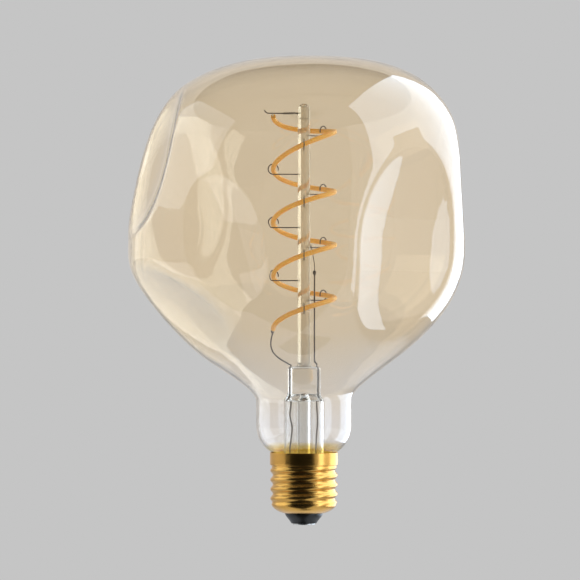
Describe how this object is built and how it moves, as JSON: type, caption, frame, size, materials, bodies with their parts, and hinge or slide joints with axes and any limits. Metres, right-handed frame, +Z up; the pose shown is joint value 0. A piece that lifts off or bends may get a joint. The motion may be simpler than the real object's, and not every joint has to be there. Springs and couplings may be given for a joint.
{
  "type": "smart filament light bulb",
  "caption": "Large dented amber glass globe lamp with a spiral LED filament on a glass stem, an E27 screw cap and a wireless driver sealed in the cap.",
  "frame": {"origin": "centre contact's outer face on the cap's axis, where the bulb seats in its lampholder", "axes": "+Z runs up the cap's axis into the glass, -Y is the side that shows the large oval dent to the right, +X is to the right from there"},
  "size_m": [0.1308, 0.1288, 0.1816],
  "materials": {
    "amber_glass": "clear blown glass with an amber metallic tint that fades towards the neck",
    "clear_glass": "clear fire-polished glass",
    "hook_wire": "oxidised molybdenum wire",
    "lead_wire": "drawn nickel wire, slightly oxidised",
    "carrier": "flexible copper and polyimide strip",
    "phosphor": "orange phosphor silicone, slightly satin",
    "cap_brass": "rolled brass, bright with light handling marks",
    "black_glass": "glossy black vitrite glass",
    "solder": "dull tin solder",
    "cement": "chalky capping cement",
    "white_plastic": "satin white flame-retardant plastic",
    "circuit_board": "green solder mask over fibreglass",
    "radio_board": "blue solder mask over fibreglass",
    "chip_black": "moulded black epoxy with tinned legs",
    "resistor_body": "flameproof lacquer",
    "inductor_core": "ferrite with enamelled copper winding",
    "capacitor_can": "aluminium can in a dark sleeve",
    "shield_tin": "tinned steel",
    "wire_jacket": "red silicone insulation"
  },
  "bodies": {
    "root": {"glass_envelope": "amber_glass", "stem_flare_tube": "clear_glass", "stem_press": "clear_glass", "exhaust_tube": "clear_glass", "support_rod": "clear_glass", "support_hooks": "hook_wire", "top_arm": "hook_wire", "filament_carrier": "carrier", "filament_outer_coat": "phosphor", "filament_inner_coat": "phosphor", "filament_end_tabs": "lead_wire", "short_lead": "lead_wire", "long_lead": "lead_wire", "riser_wire": "lead_wire", "weld_beads": "solder", "cap_shell": "cap_brass", "cap_insulator": "black_glass", "centre_contact": "solder", "contact_solder": "solder", "capping_cement": "cement", "driver_cup": "white_plastic", "driver_board": "circuit_board", "bridge_rectifier": "chip_black", "driver_chip": "chip_black", "fusible_resistor": "resistor_body", "filter_inductor": "inductor_core", "smoothing_capacitor": "capacitor_can", "wireless_module": "radio_board", "module_shield": "shield_tin", "live_wire": "wire_jacket", "neutral_wire": "lead_wire", "shell_solder": "solder"}
  },
  "joints": []
}
